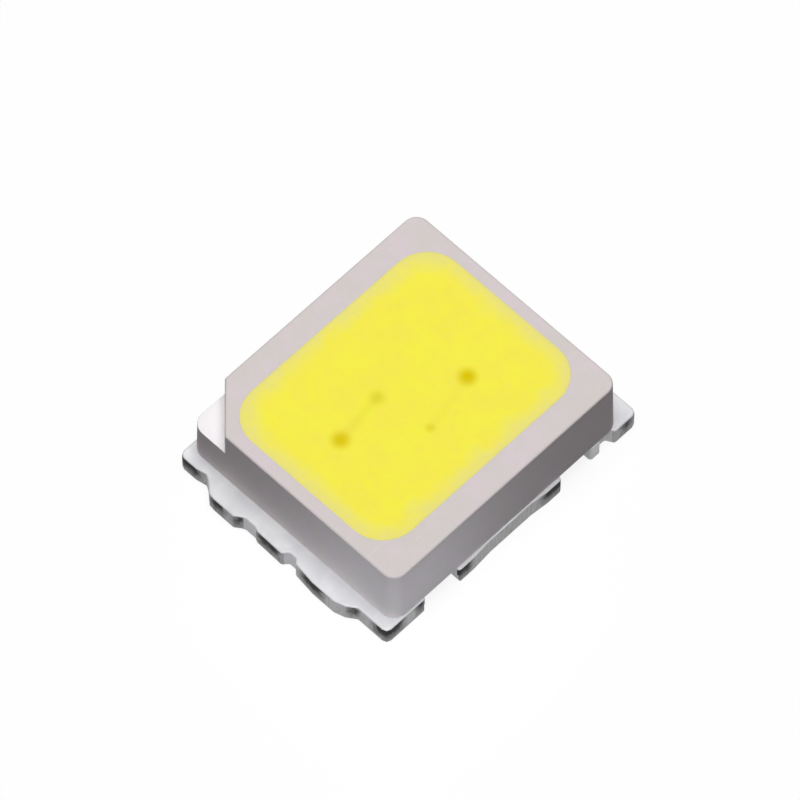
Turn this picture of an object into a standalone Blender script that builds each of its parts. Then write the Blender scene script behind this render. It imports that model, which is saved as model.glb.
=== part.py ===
"""A white surface-mount LED in the 3.5 x 2.8 mm plastic package.

A moulded white housing is locked round two silver-plated leads, and its sloped cavity is the
reflector. Inside it a blue chip is glued to the large lead, and two gold wires join the chip's
electrodes to the leads. Silicone with yellow phosphor fills the cavity, flush with the rim.

Everything is drawn in millimetres about the middle of the housing. A finished piece is moved
so that the origin is in the middle of the whole length, and turned into metres. +X is the long
axis, from the cathode to the anode. +Y points to the side with the cut corner, and Z is zero at
the solder pads.
"""

import math

import bmesh
import bpy
from mathutils import Matrix, Vector

MM = 0.001

# Package: overall sizes, and the clearance that stands in for each bonded face
PACKAGE_LENGTH = 3.50
PACKAGE_WIDTH = 2.80
PACKAGE_HEIGHT = 1.00
FIT = 0.003

# Moulded housing
BODY_DRAFT = 0.02
BODY_CORNER_RADIUS = 0.165
RIM_EDGE_RADIUS = 0.025
CUT_CORNER = 0.49
CUT_CORNER_DEPTH = 0.31
FOOT_SETBACK = 0.20
FOOT_LIFT = 0.02

# Reflector cavity: the rim round its window, and how far its walls slope in
END_RIM = 0.16
SIDE_RIM = 0.30
WINDOW_CORNER_RADIUS = 0.385
WALL_SLOPE = 0.25
FLOOR_CORNER_RADIUS = 0.28
MENISCUS_DEPTH = 0.018

# Leads
CATHODE_REACH = 0.24
ANODE_REACH = 0.19
LEAD_THICKNESS = 0.24
ETCH_DEPTH = 0.12
LEAD_EDGE_RADIUS = 0.012
LEAD_CORNER_RADIUS = 0.03
EAR_CORNER_RADIUS = 0.06
STUB_REACH = 0.035
CATHODE_EAR_SETBACK = 0.02
PAD_UNDER_BODY = 0.415
MIDDLE_STUB_LENGTH = 1.40
WAIST_WIDTH = 2.20
CATHODE_EDGE = 0.44
LEAD_GAP = 0.16
SHELF_WIDTH = 1.80
LOCK_STEP = 0.10
ETCH_BITE = 0.02

# Where the ends were trimmed, from +Y to -Y: (place across the package, set back from the tip)
CATHODE_TRIM = (
    (1.16, 0.115), (1.04, 0.140), (0.98, 0.105), (0.87, 0.010),
    (0.80, 0.0), (0.54, 0.0), (0.47, 0.050), (0.43, 0.065),
    (0.31, 0.065), (0.26, 0.042), (-0.07, 0.035), (-0.12, 0.095),
    (-0.20, 0.095), (-0.25, 0.048), (-0.50, 0.018), (-0.78, 0.018),
    (-0.90, 0.055), (-1.00, 0.125),
)
ANODE_TRIM = (
    (0.43, 0.0), (0.42, 0.07), (0.35, 0.07), (0.34, 0.0),
    (-0.34, 0.0), (-0.35, 0.07), (-0.42, 0.07), (-0.43, 0.0),
)

# The same along the sides: (place along the package, or in from the anode's tip, set back)
MIDDLE_STUB_TRIM = ((-0.50, 0.0), (-0.25, 0.02), (0.30, 0.02), (0.50, 0.0))
ANODE_SIDE_TRIM = ((0.30, 0.0), (0.35, 0.09), (0.43, 0.09), (0.48, 0.03))

# Chip
CHIP_LENGTH = 0.86
CHIP_WIDTH = 0.42
CHIP_HEIGHT = 0.12
MESA_HEIGHT = 0.006
MESA_INSET = 0.012
MESA_MARGIN = 0.014
ELECTRODE_THICKNESS = 0.006
ELECTRODE_PAD_RADIUS = 0.048
ELECTRODE_X = 0.0575
ELECTRODE_Y = 0.295
FINGER_WIDTH = 0.012
FINGER_LENGTH = 0.45
GLUE_THICKNESS = 0.015
GLUE_MARGIN = 0.025

# Bond wires
WIRE_DIAMETER = 0.025
WIRE_LOOP_HEIGHT = 0.13
CHIP_BALL_DIAMETER = 0.080
LEAD_BALL_DIAMETER = 0.120
BALL_HEIGHT = 0.024
CATHODE_BOND = (-0.63, 0.215)
ANODE_BOND = (0.70, -0.155)

# Sizes that follow
BODY_LENGTH = PACKAGE_LENGTH - CATHODE_REACH - ANODE_REACH
BODY_WIDTH = PACKAGE_WIDTH - 2 * STUB_REACH
WINDOW_LENGTH = BODY_LENGTH - 2 * END_RIM
WINDOW_WIDTH = BODY_WIDTH - 2 * SIDE_RIM
BODY_MIDDLE = (CATHODE_REACH - ANODE_REACH) / 2
STUB_Y = PACKAGE_WIDTH / 2
END_PAD_INNER = BODY_LENGTH / 2 - PAD_UNDER_BODY
STUB_X = MIDDLE_STUB_LENGTH / 2
SHELF_EDGE = CATHODE_EDGE + LEAD_GAP
WING_Y = SHELF_WIDTH / 2 + LEAD_GAP
GLUE_TOP = LEAD_THICKNESS + FIT + GLUE_THICKNESS
CHIP_FLOOR = GLUE_TOP + FIT
CHIP_SHOULDER = CHIP_FLOOR + CHIP_HEIGHT
MESA_TOP = CHIP_SHOULDER + MESA_HEIGHT
CATHODE_ELECTRODE_FLOOR = CHIP_SHOULDER + FIT
ANODE_ELECTRODE_FLOOR = MESA_TOP + FIT
CONNECTIONS = (
    (1, CATHODE_ELECTRODE_FLOOR, CATHODE_BOND),
    (-1, ANODE_ELECTRODE_FLOOR, ANODE_BOND),
)
BEYOND = 0.5
STRAIGHT = math.radians(0.5)


def rounded_rectangle(length, width, radius, steps=8):
    """Anticlockwise outline about the origin, with `steps` chords in each corner's arc."""
    points = []
    for turn, (sx, sy) in enumerate(((1, 1), (-1, 1), (-1, -1), (1, -1))):
        centre = Vector((sx * (length / 2 - radius), sy * (width / 2 - radius)))
        for step in range(steps + 1):
            angle = (turn + step / steps) * math.pi / 2
            points.append(centre + radius * Vector((math.cos(angle), math.sin(angle))))
    return points


def filleted(corners, radius, steps=2):
    """The polygon with each corner replaced by an arc. A corner may bring its own radius.

    A corner where the outline runs straight on stays one point.
    """
    points = []
    for index, corner in enumerate(corners):
        here = Vector(corner[:2])
        before = Vector(corners[index - 1][:2]) - here
        after = Vector(corners[(index + 1) % len(corners)][:2]) - here
        half = before.angle(after) / 2
        if math.pi - 2 * half < STRAIGHT:
            points.append(here)
            continue
        widest = 0.45 * min(before.length, after.length) * math.tan(half)
        bend = min(corner[2] if len(corner) > 2 else radius, widest)
        middle = (before.normalized() + after.normalized()).normalized()
        centre = here + middle * bend / math.sin(half)
        start = here + before.normalized() * bend / math.tan(half) - centre
        sweep = math.pi - 2 * half
        if before.x * after.y - before.y * after.x > 0:
            sweep = -sweep
        for step in range(steps + 1):
            points.append(centre + Matrix.Rotation(sweep * step / steps, 2) @ start)
    return points


def grown(outline, distance):
    """The anticlockwise outline with every edge moved outwards by `distance`."""
    moved = []
    for index, here in enumerate(outline):
        along = (here - outline[index - 1]).normalized()
        onward = (outline[(index + 1) % len(outline)] - here).normalized()
        first = Vector((along.y, -along.x))
        second = Vector((onward.y, -onward.x))
        moved.append(here + (first + second) * distance / (1 + first.dot(second)))
    return moved


def loft(sections):
    """A closed solid through sections of (outline, z), from the lowest to the highest."""
    solid = bmesh.new()
    rings = []
    for outline, z in sections:
        rings.append([solid.verts.new((point.x, point.y, z)) for point in outline])
    for lower, upper in zip(rings, rings[1:]):
        for index in range(len(lower)):
            onward = (index + 1) % len(lower)
            solid.faces.new((lower[index], lower[onward], upper[onward], upper[index]))
    solid.faces.new(tuple(reversed(rings[0])))
    solid.faces.new(tuple(rings[-1]))
    return solid


def slab(x_from, x_to, y_from, y_to, z_from, z_to):
    """A plain block between the given planes."""
    corners = ((x_from, y_from), (x_to, y_from), (x_to, y_to), (x_from, y_to))
    outline = [Vector(corner) for corner in corners]
    return loft([(outline, z_from), (outline, z_to)])


def combined(operation, base, others):
    """The base solid after exact Booleans with each of the others."""
    target = scene_object("boolean_base", base)
    for number, other in enumerate(others):
        cutter = scene_object(f"boolean_cutter_{number}", other)
        cutter.hide_render = True
        cutter.display_type = "WIRE"
        modifier = target.modifiers.new("Boolean", "BOOLEAN")
        modifier.operation = operation
        modifier.solver = "EXACT"
        modifier.object = cutter
    result = bmesh.new()
    result.from_object(target, bpy.context.evaluated_depsgraph_get())
    for leftover in [modifier.object for modifier in target.modifiers] + [target]:
        bpy.data.objects.remove(leftover, do_unlink=True)
    return result


def joined(base, *others):
    return combined("UNION", base, others)


def cut(base, *others):
    return combined("DIFFERENCE", base, others)


def scene_object(name, solid):
    """A scene object that holds the solid, still in millimetres."""
    mesh = bpy.data.meshes.new(name)
    solid.to_mesh(mesh)
    solid.free()
    thing = bpy.data.objects.new(name, mesh)
    bpy.context.scene.collection.objects.link(thing)
    return thing


def material(name, colour, roughness, metallic=0.0, transmission=0.0):
    """A Principled material from an sRGB colour given as three numbers up to 255."""
    made = bpy.data.materials.new(name)
    made.use_nodes = True
    shader = made.node_tree.nodes["Principled BSDF"]
    linear = [((part / 255 + 0.055) / 1.055) ** 2.4 for part in colour]
    shader.inputs["Base Color"].default_value = (*linear, 1)
    shader.inputs["Roughness"].default_value = roughness
    shader.inputs["Metallic"].default_value = metallic
    shader.inputs["Transmission Weight"].default_value = transmission
    made.diffuse_color = (*linear, 1)
    return made


def finish(name, solid, look, smooth_below=35):
    """Puts a finished solid in its place as a named part, smooth where its facets are shallow."""
    bmesh.ops.remove_doubles(solid, verts=solid.verts, dist=1e-5)
    bmesh.ops.recalc_face_normals(solid, faces=solid.faces)
    bmesh.ops.translate(solid, vec=(BODY_MIDDLE, 0, 0), verts=solid.verts)
    bmesh.ops.scale(solid, vec=(MM, MM, MM), verts=solid.verts)
    part = scene_object(name, solid)
    part.data.materials.append(look)
    part.data.polygons.foreach_set("use_smooth", [True] * len(part.data.polygons))
    part.data.set_sharp_from_angle(angle=math.radians(smooth_below))
    return part


def body_outline(inset):
    """The housing's outline, drawn in by `inset` on every side."""
    return rounded_rectangle(
        BODY_LENGTH - 2 * inset, BODY_WIDTH - 2 * inset, BODY_CORNER_RADIUS - inset
    )


def shell():
    """The outer block: drafted walls and a rounded top edge."""
    sections = [(body_outline(0), LEAD_THICKNESS)]
    for step in range(4):
        angle = step / 3 * math.pi / 2
        drawn_in = BODY_DRAFT + RIM_EDGE_RADIUS * (1 - math.cos(angle))
        rise = PACKAGE_HEIGHT - RIM_EDGE_RADIUS * (1 - math.sin(angle))
        sections.append((body_outline(drawn_in), rise))
    return loft(sections)


def corner_cutter():
    """Cuts the polarity corner down to its ledge and leaves its upper edge rounded."""
    ledge = PACKAGE_HEIGHT - CUT_CORNER_DEPTH
    profile = [(BEYOND, ledge), (0, ledge)]
    for step in range(4):
        angle = step / 3 * math.pi / 2
        back = RIM_EDGE_RADIUS * (1 - math.cos(angle))
        rise = PACKAGE_HEIGHT - RIM_EDGE_RADIUS * (1 - math.sin(angle))
        profile.append((-back, rise))
    profile.append((-RIM_EDGE_RADIUS, PACKAGE_HEIGHT + BEYOND))
    profile.append((BEYOND, PACKAGE_HEIGHT + BEYOND))
    outward = Vector((-1, 1, 0)).normalized()
    along = Vector((1, 1, 0)).normalized() * (CUT_CORNER + BEYOND)
    corner = Vector((-BODY_LENGTH / 2, BODY_WIDTH / 2, 0))
    middle = corner - outward * CUT_CORNER / math.sqrt(2)
    cutter = bmesh.new()
    rings = []
    for shift in (-along, along):
        ring = [cutter.verts.new(middle + shift + outward * out + Vector((0, 0, z)))
                for out, z in profile]
        rings.append(ring)
    for index in range(len(profile)):
        onward = (index + 1) % len(profile)
        side = (rings[0][index], rings[0][onward], rings[1][onward], rings[1][index])
        cutter.faces.new(side)
    cutter.faces.new(rings[0])
    cutter.faces.new(rings[1])
    bmesh.ops.recalc_face_normals(cutter, faces=cutter.faces)
    return cutter


def cavity_outline(height, inset=0.0):
    """The reflector's outline at a height, from 0 at the floor to 1 at the window."""
    drawn_in = WALL_SLOPE * (1 - height) + inset
    radius = FLOOR_CORNER_RADIUS + (WINDOW_CORNER_RADIUS - FLOOR_CORNER_RADIUS) * height - inset
    return rounded_rectangle(WINDOW_LENGTH - 2 * drawn_in, WINDOW_WIDTH - 2 * drawn_in, radius, 8)


def cavity_cutter():
    depth = PACKAGE_HEIGHT - LEAD_THICKNESS
    return loft([
        (cavity_outline(0), LEAD_THICKNESS),
        (cavity_outline(1 + BEYOND / depth), PACKAGE_HEIGHT + BEYOND),
    ])


def trimmed_end(trim, tip, side):
    """Corners down a lead's end at -X, from +Y to -Y, where it was trimmed from its strip.

    The lead's tip is at `tip` from the middle of the housing, and its sides are at `side`.
    """
    first = (trim[0][1] - tip, side, EAR_CORNER_RADIUS)
    last = (trim[-1][1] - tip, -side, EAR_CORNER_RADIUS)
    return [first, *((setback - tip, across) for across, setback in trim), last]


def plate(outline, grow):
    """Lead-frame strip of full thickness with its edges rolled over, grown all round."""
    rolled = grown(outline, grow - LEAD_EDGE_RADIUS)
    full = grown(outline, grow)
    return loft([
        (rolled, -grow),
        (full, LEAD_EDGE_RADIUS - grow),
        (full, LEAD_THICKNESS - LEAD_EDGE_RADIUS + grow),
        (rolled, LEAD_THICKNESS + grow),
    ])


def cathode_lead(grow=0.0):
    """The large lead: trimmed end, side stubs, and the land under the chip."""
    waist = WAIST_WIDTH / 2
    ear = STUB_Y - CATHODE_EAR_SETBACK
    corners = trimmed_end(CATHODE_TRIM, BODY_LENGTH / 2 + CATHODE_REACH, ear)
    near = [
        (-END_PAD_INNER, -ear),
        (-END_PAD_INNER, -waist),
        (-STUB_X, -waist),
        (-STUB_X, -STUB_Y),
        *((along, setback - STUB_Y) for along, setback in MIDDLE_STUB_TRIM),
        (STUB_X, -STUB_Y),
        (STUB_X, -WING_Y),
        (CATHODE_EDGE, -WING_Y),
    ]
    corners += near + [(x, -y) for x, y in reversed(near)]
    lead = plate(filleted(corners, LEAD_CORNER_RADIUS), grow)
    bite = ETCH_BITE - grow
    ceiling = ETCH_DEPTH - grow
    etches = [slab(CATHODE_EDGE - LOCK_STEP + grow, CATHODE_EDGE + BEYOND,
                   -WING_Y - bite, WING_Y + bite, -BEYOND, ceiling)]
    for side in (-1, 1):
        across = sorted((side * (waist - LOCK_STEP + grow), side * (waist + BEYOND)))
        etches.append(slab(-END_PAD_INNER - bite, -STUB_X + bite, *across, -BEYOND, ceiling))
    return cut(lead, *etches)


def anode_lead(grow=0.0):
    """The small lead: trimmed end, and the half-etched shelf that its wire lands on."""
    shelf = SHELF_WIDTH / 2
    tip = BODY_LENGTH / 2 + ANODE_REACH
    near = [(inwards - tip, setback - STUB_Y) for inwards, setback in ANODE_SIDE_TRIM]
    near += [
        (-END_PAD_INNER, near[-1][1]),
        (-END_PAD_INNER, -shelf),
        (-SHELF_EDGE, -shelf),
    ]
    corners = trimmed_end(ANODE_TRIM, tip, STUB_Y) + near + [(x, -y) for x, y in reversed(near)]
    turned = [(-x, -y, *rest) for x, y, *rest in corners]
    lead = plate(filleted(turned, LEAD_CORNER_RADIUS), grow)
    etched = WING_Y - grow
    etch = slab(SHELF_EDGE - BEYOND, END_PAD_INNER + ETCH_BITE - grow,
                -etched, etched, -BEYOND, ETCH_DEPTH - grow)
    return cut(lead, etch)


def housing():
    """Shell and foot as one moulding, with the leads' own shapes and the reflector taken out."""
    foot_x = END_PAD_INNER + LEAD_GAP / 2
    foot_y = BODY_WIDTH / 2 - FOOT_SETBACK
    overlap = (PACKAGE_HEIGHT - LEAD_THICKNESS) / 4
    foot = slab(-foot_x, foot_x, -foot_y, foot_y, FOOT_LIFT, LEAD_THICKNESS + overlap)
    body = joined(shell(), foot)
    return cut(body, corner_cutter(), cavity_cutter(), cathode_lead(FIT), anode_lead(FIT))


def chip_outline(beyond, radius):
    """The chip's outline, drawn `beyond` its sides."""
    return rounded_rectangle(CHIP_WIDTH + 2 * beyond, CHIP_LENGTH + 2 * beyond, radius, 2)


def chip(grow=0.0):
    """Sapphire die with its light-emitting mesa, cut back round the cathode electrode."""
    base = chip_outline(grow, MESA_INSET)
    raised = grown(base, -MESA_INSET)
    mesa = loft([(raised, CHIP_SHOULDER - CHIP_HEIGHT / 2), (raised, MESA_TOP + grow)])
    die = joined(loft([(base, CHIP_FLOOR - grow), (base, CHIP_SHOULDER + grow)]), mesa)
    clearing = electrode_outline(MESA_MARGIN - grow)
    return cut(die, loft([(clearing, CHIP_SHOULDER + grow), (clearing, MESA_TOP + BEYOND)]))


def electrode_outline(grow=0.0):
    """Round bonding pad with a finger down the chip, as drawn for the cathode electrode."""
    reach = ELECTRODE_PAD_RADIUS + grow
    half = FINGER_WIDTH / 2 + grow
    tip = ELECTRODE_Y - FINGER_LENGTH - grow
    start = math.asin(half / reach)
    points = []
    turns = 20
    for step in range(turns + 1):
        angle = start - math.pi / 2 + (2 * math.pi - 2 * start) * step / turns
        spot = Vector((math.cos(angle), math.sin(angle))) * reach
        points.append(spot + Vector((-ELECTRODE_X, ELECTRODE_Y)))
    points.append(Vector((-ELECTRODE_X - half, tip)))
    points.append(Vector((-ELECTRODE_X + half, tip)))
    return points


def electrode(side, floor, grow=0.0):
    """Gold electrode: side 1 at the cathode's end of the chip, -1 turned half round."""
    outline = [point * side for point in electrode_outline(grow)]
    return loft([(outline, floor - grow), (outline, floor + ELECTRODE_THICKNESS + grow)])


def die_attach(grow=0.0):
    """The film of glue under the chip, pressed out a little all round it."""
    spread = chip_outline(GLUE_MARGIN + grow, GLUE_MARGIN + grow)
    return loft([
        (spread, LEAD_THICKNESS + FIT - grow),
        (grown(spread, -GLUE_MARGIN / 2), GLUE_TOP + grow),
    ])


def ball(place, floor, diameter, grow):
    """A bonding ball pressed flat, drawn up to the wire's own thickness at its neck."""
    radius = diameter / 2
    neck = WIRE_DIAMETER / 2 * 1.15
    profile = [
        (radius * 0.86, 0),
        (radius, BALL_HEIGHT * 0.3),
        (radius * 0.98, BALL_HEIGHT * 0.65),
        (radius * 0.8, BALL_HEIGHT),
        (neck * 1.3, BALL_HEIGHT * 1.35),
        (neck, BALL_HEIGHT * 1.8),
    ]
    sections = []
    sides = 16
    for index, (reach, rise) in enumerate(profile):
        lift = -grow if index == 0 else grow if index == len(profile) - 1 else 0
        ring = []
        for step in range(sides):
            angle = 2 * math.pi * (step + 0.5) / sides
            ring.append(Vector(place) + (reach + grow) * Vector((math.cos(angle), math.sin(angle))))
        sections.append((ring, floor + rise + lift))
    return loft(sections)


def wire_path(start, chip_floor, end, lead_floor):
    """Points of the wire's loop: straight up from the chip's ball, over, and down to the lead."""
    inside = BALL_HEIGHT
    top = chip_floor + WIRE_LOOP_HEIGHT
    first = Vector((*start, chip_floor + inside))
    last = Vector((*end, lead_floor + inside))
    run = last - first
    handles = (
        Vector((first.x, first.y, top + WIRE_LOOP_HEIGHT / 3)),
        Vector((first.x + run.x * 0.62, first.y + run.y * 0.62, top + WIRE_LOOP_HEIGHT / 6)),
    )
    points = []
    steps = 14
    for step in range(steps + 1):
        t = step / steps
        weights = ((1 - t) ** 3, 3 * t * (1 - t) ** 2, 3 * t * t * (1 - t), t ** 3)
        spots = (first, *handles, last)
        points.append(sum((weight * spot for weight, spot in zip(weights, spots)), Vector()))
    return points


def tube(path, radius, sides=8):
    """A round wire along the path, which stays in one upright plane."""
    solid = bmesh.new()
    across = Vector((path[-1] - path[0]).cross(Vector((0, 0, 1)))).normalized()
    rings = []
    for index, here in enumerate(path):
        ahead = path[min(index + 1, len(path) - 1)] - path[max(index - 1, 0)]
        up = across.cross(ahead).normalized()
        ring = []
        for step in range(sides):
            angle = 2 * math.pi * step / sides
            spot = here + radius * (math.cos(angle) * across + math.sin(angle) * up)
            ring.append(solid.verts.new(spot))
        rings.append(ring)
    for lower, upper in zip(rings, rings[1:]):
        for index in range(sides):
            onward = (index + 1) % sides
            solid.faces.new((lower[index], lower[onward], upper[onward], upper[index]))
    solid.faces.new(rings[0])
    solid.faces.new(rings[-1])
    bmesh.ops.recalc_face_normals(solid, faces=solid.faces)
    return solid


def bond_wire(side, electrode_floor, bond, grow=0.0):
    """Gold wire from an electrode to a lead, with a ball at each end."""
    start = Vector((-ELECTRODE_X, ELECTRODE_Y)) * side
    chip_floor = electrode_floor + ELECTRODE_THICKNESS + FIT
    lead_floor = LEAD_THICKNESS + FIT
    loop = tube(wire_path(start, chip_floor, bond, lead_floor), WIRE_DIAMETER / 2 + grow)
    return joined(
        loop,
        ball(start, chip_floor, CHIP_BALL_DIAMETER, grow),
        ball(bond, lead_floor, LEAD_BALL_DIAMETER, grow),
    )


def encapsulant():
    """Silicone that fills the reflector round chip and wires, its top drawn down in the middle."""
    floor = LEAD_THICKNESS + FIT
    depth = PACKAGE_HEIGHT - LEAD_THICKNESS
    sections = [
        (cavity_outline(FIT / depth, FIT), floor),
        (cavity_outline(1 - FIT / depth, FIT), PACKAGE_HEIGHT - FIT),
    ]
    reach = WINDOW_WIDTH / 2 - FIT
    for share in (0.04, 0.12, 0.28, 0.55):
        drawn_in = reach * share
        outline = rounded_rectangle(
            WINDOW_LENGTH - 2 * FIT - 2 * drawn_in, WINDOW_WIDTH - 2 * FIT - 2 * drawn_in,
            max(WINDOW_CORNER_RADIUS - FIT - drawn_in, WINDOW_CORNER_RADIUS * (1 - share) / 2), 8
        )
        sag = MENISCUS_DEPTH * (1 - (1 - share) ** 4)
        sections.append((outline, PACKAGE_HEIGHT - FIT - sag))
    fill = loft(sections)
    pocket = joined(chip(FIT), die_attach(2 * FIT))
    for side, electrode_floor, bond in CONNECTIONS:
        fill = cut(
            fill, electrode(side, electrode_floor, FIT), bond_wire(side, electrode_floor, bond, FIT)
        )
    return cut(fill, pocket)


for old in list(bpy.data.objects):
    bpy.data.objects.remove(old, do_unlink=True)

white_plastic = material("moulded_white_plastic", (226, 219, 220), 0.45)
silver_plate = material("silver_plated_copper", (214, 214, 216), 0.30, 1.0)
sapphire = material("sapphire_die", (120, 150, 205), 0.12, 0.0, 0.6)
gold = material("gold_bond", (224, 180, 90), 0.25, 1.0)
clear_glue = material("die_attach_silicone", (228, 226, 214), 0.30, 0.0, 0.4)
phosphor = material("phosphor_silicone", (247, 237, 78), 0.30)

finish("housing", housing(), white_plastic)
finish("cathode_lead", cathode_lead(), silver_plate)
finish("anode_lead", anode_lead(), silver_plate)
finish("die_attach", die_attach(), clear_glue)
finish("led_chip", chip(), sapphire)
for pole, (side, electrode_floor, bond) in zip(("cathode", "anode"), CONNECTIONS):
    finish(f"{pole}_electrode", electrode(side, electrode_floor), gold)
    finish(f"{pole}_bond_wire", bond_wire(side, electrode_floor, bond), gold)
finish("phosphor_encapsulant", encapsulant(), phosphor)
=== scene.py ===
# %% [markdown]
# # A white surface-mount LED
#
# The part is 3.5 mm long, smaller than a grain of rice. A matt white plastic housing is moulded
# round two silver-plated leads. Its cavity holds a blue chip with two gold wires, and is filled
# flush with silicone that is full of yellow phosphor.
#
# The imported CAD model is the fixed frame. This lesson gives its pieces their real edges and
# finishes, lights them softly, and looks at them from the photograph's angle.

import functools
import math

import bmesh
import bpy
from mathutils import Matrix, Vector


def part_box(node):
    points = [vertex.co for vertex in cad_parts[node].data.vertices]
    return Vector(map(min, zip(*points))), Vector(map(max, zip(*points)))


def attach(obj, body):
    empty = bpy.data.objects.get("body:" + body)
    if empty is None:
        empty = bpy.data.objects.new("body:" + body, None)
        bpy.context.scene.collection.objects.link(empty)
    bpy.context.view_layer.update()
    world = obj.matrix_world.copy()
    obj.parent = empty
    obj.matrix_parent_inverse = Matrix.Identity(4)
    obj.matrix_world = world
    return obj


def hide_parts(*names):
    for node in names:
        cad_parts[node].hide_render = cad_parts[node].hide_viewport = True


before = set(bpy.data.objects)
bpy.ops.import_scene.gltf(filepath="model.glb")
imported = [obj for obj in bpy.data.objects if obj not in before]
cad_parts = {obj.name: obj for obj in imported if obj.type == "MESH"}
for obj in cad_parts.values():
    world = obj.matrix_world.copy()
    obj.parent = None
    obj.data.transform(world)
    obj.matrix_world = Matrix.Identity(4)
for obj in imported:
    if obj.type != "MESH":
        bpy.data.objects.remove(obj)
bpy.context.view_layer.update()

MM = 0.001
BODY = "root"

print("pieces:", sorted(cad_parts))

# %% [markdown]
# ## Sizes from the CAD
#
# Every size here is in millimetres, because the finest ones are thousandths of one. The housing's
# middle isn't quite the part's middle, because one lead was cut off shorter than the other. Most
# finishes are drawn about the housing, so their places are counted from its middle.

# %% The housing's middle and each node's corners
HOUSING_LOW, HOUSING_HIGH = (Vector(corner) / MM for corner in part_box("housing"))
MIDDLE = Vector(((HOUSING_LOW.x + HOUSING_HIGH.x) / 2, (HOUSING_LOW.y + HOUSING_HIGH.y) / 2, 0))


def corners(node):
    """A CAD node's lowest and highest corners, in mm from the housing's middle."""
    return [Vector(corner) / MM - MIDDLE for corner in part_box(node)]


print("housing in mm:", [round(size, 3) for size in HOUSING_HIGH - HOUSING_LOW])

# %% [markdown]
# ## Camera
#
# The photograph was taken from a long way off, with hardly any perspective, looking down on the
# corner between the cathode end and a long side. A camera without any perspective would come
# close, but it would lose the little by which the far sides are shorter, so this is a very long
# lens, far away. Its angles and distance were fitted to the part's corners in the photograph.
# It then moves sideways a little, without turning, which puts the part where it is there.

# %% The camera
AZIMUTH, ELEVATION = math.radians(-45.425), math.radians(60.419)
DISTANCE = 88.639
LENS = 420.5
SIDEWAYS, UPWARD = -0.0506, 0.197
AIM_HEIGHT = 0.5
NEAR_CLIP, FAR_CLIP = MM, 10


def photo_camera():
    level = math.cos(ELEVATION)
    back = Vector((math.sin(AZIMUTH) * level, -math.cos(AZIMUTH) * level, math.sin(ELEVATION)))
    right = Vector((math.cos(AZIMUTH), math.sin(AZIMUTH), 0))
    lens = bpy.data.cameras.new("photo_lens")
    lens.lens = LENS
    lens.clip_start, lens.clip_end = NEAR_CLIP, FAR_CLIP
    camera = bpy.data.objects.new("photo_camera", lens)
    bpy.context.scene.collection.objects.link(camera)
    aim = MIDDLE + Vector((0, 0, AIM_HEIGHT))
    place = aim + back * DISTANCE + right * SIDEWAYS + back.cross(right) * UPWARD
    camera.location = place * MM
    camera.rotation_mode = "QUATERNION"
    camera.rotation_quaternion = (-back).to_track_quat("-Z", "Y")
    bpy.context.scene.camera = camera
    return camera


camera = photo_camera()
print("camera stands", round(camera.location.length / MM, 1), "mm away")

# %% [markdown]
# ## Colours and nodes
#
# Colours are given in sRGB, the way a screen shows them, but light is added up in linear
# values, so one function turns the first into the second. A second small function adds a node
# with its settings and links, so that each finish below reads like a recipe. A finish starts with
# the place of each point on the piece, in millimetres, so a pattern of patches 0.3 mm across has
# a scale of 1 / 0.3, and ends with the shader. Noise is used for every pattern. An image could
# carry more, but noise reads the same from every side and has no seams.

# %% Helpers for the finishes
# A noise texture's values gather round this middle. Each range below is spread over 0 to 1: the
# narrower it is, the crisper the pattern.
NOISE_MIDDLE = 0.5
CRISP, CLEAR, SOFT = ({"From Min": NOISE_MIDDLE - part, "From Max": NOISE_MIDDLE + part}
                      for part in (0.15, 0.2, 0.3))


def linear(code):
    """The linear colour of an sRGB hex code, such as "F7ED4E"."""
    parts = [int(code[at:at + 2], 16) / 255 for at in (0, 2, 4)]
    light = [p / 12.92 if p <= 0.04045 else ((p + 0.055) / 1.055) ** 2.4 for p in parts]
    return (*light, 1)


def add(tree, kind, inputs=None, **settings):
    """Adds a node. Its inputs are named or counted among those in use.

    Each takes a value, another node's output, or a node, which means its first output in use.
    """
    node = tree.nodes.new(kind)
    for name, value in settings.items():
        setattr(node, name, value)
    in_use = [socket for socket in node.inputs if socket.enabled]
    for key, value in (inputs or {}).items():
        named = [socket for socket in in_use if socket.name == key]
        socket = named[0] if named else in_use[key]
        if isinstance(value, bpy.types.Node):
            value = next(output for output in value.outputs if output.enabled)
        if isinstance(value, bpy.types.NodeSocket):
            tree.links.new(value, socket)
        else:
            socket.default_value = value
    return node


def start_finish(name):
    """A new material, the function that adds its nodes, and places in mm from the middle."""
    finish = bpy.data.materials.new(name)
    finish.use_nodes = True
    finish.node_tree.nodes.clear()
    node = functools.partial(add, finish.node_tree)
    metres = node("ShaderNodeTexCoord").outputs["Object"]
    place = node("ShaderNodeMapping",
                 {"Vector": metres, "Scale": (1 / MM,) * 3, "Location": -MIDDLE})
    return finish, node, place


print("pale yellow in linear light:", [round(part, 3) for part in linear("F1E776")])

# %% [markdown]
# ## The housing's plastic
#
# The housing is white polyamide, filled with titanium dioxide to reflect the chip's light and
# with short glass fibres for strength. The mould is spark-eroded, which leaves a fine matt
# grain. To the eye it is a slightly warm white without a clear highlight, a little cloudy where
# the fibres lie, and the light goes a few hundredths of a millimetre into it, so its edges are
# soft. The real grain is about 0.01 mm, too fine to show here, so it is drawn at 0.03 mm. The
# ledge at the cut corner is painted nearly white, a painted sheen that makes it lighter than the
# rim, though it is the same plastic. The ledge could have a material of its own, but then the
# moulding would have two slots. A mask that asks where a point is and which way it faces keeps
# the plastic in one material.

# %% Moulded white polyamide
CLOUD, FIBRE, GRAIN_DEPTH = 0.22, 0.03, 0.0016
FLOW_STRETCH = 0.25
FIBRE_SHOWS = {"From Min": 0.6, "From Max": 0.8, "To Max": 0.25}
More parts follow.
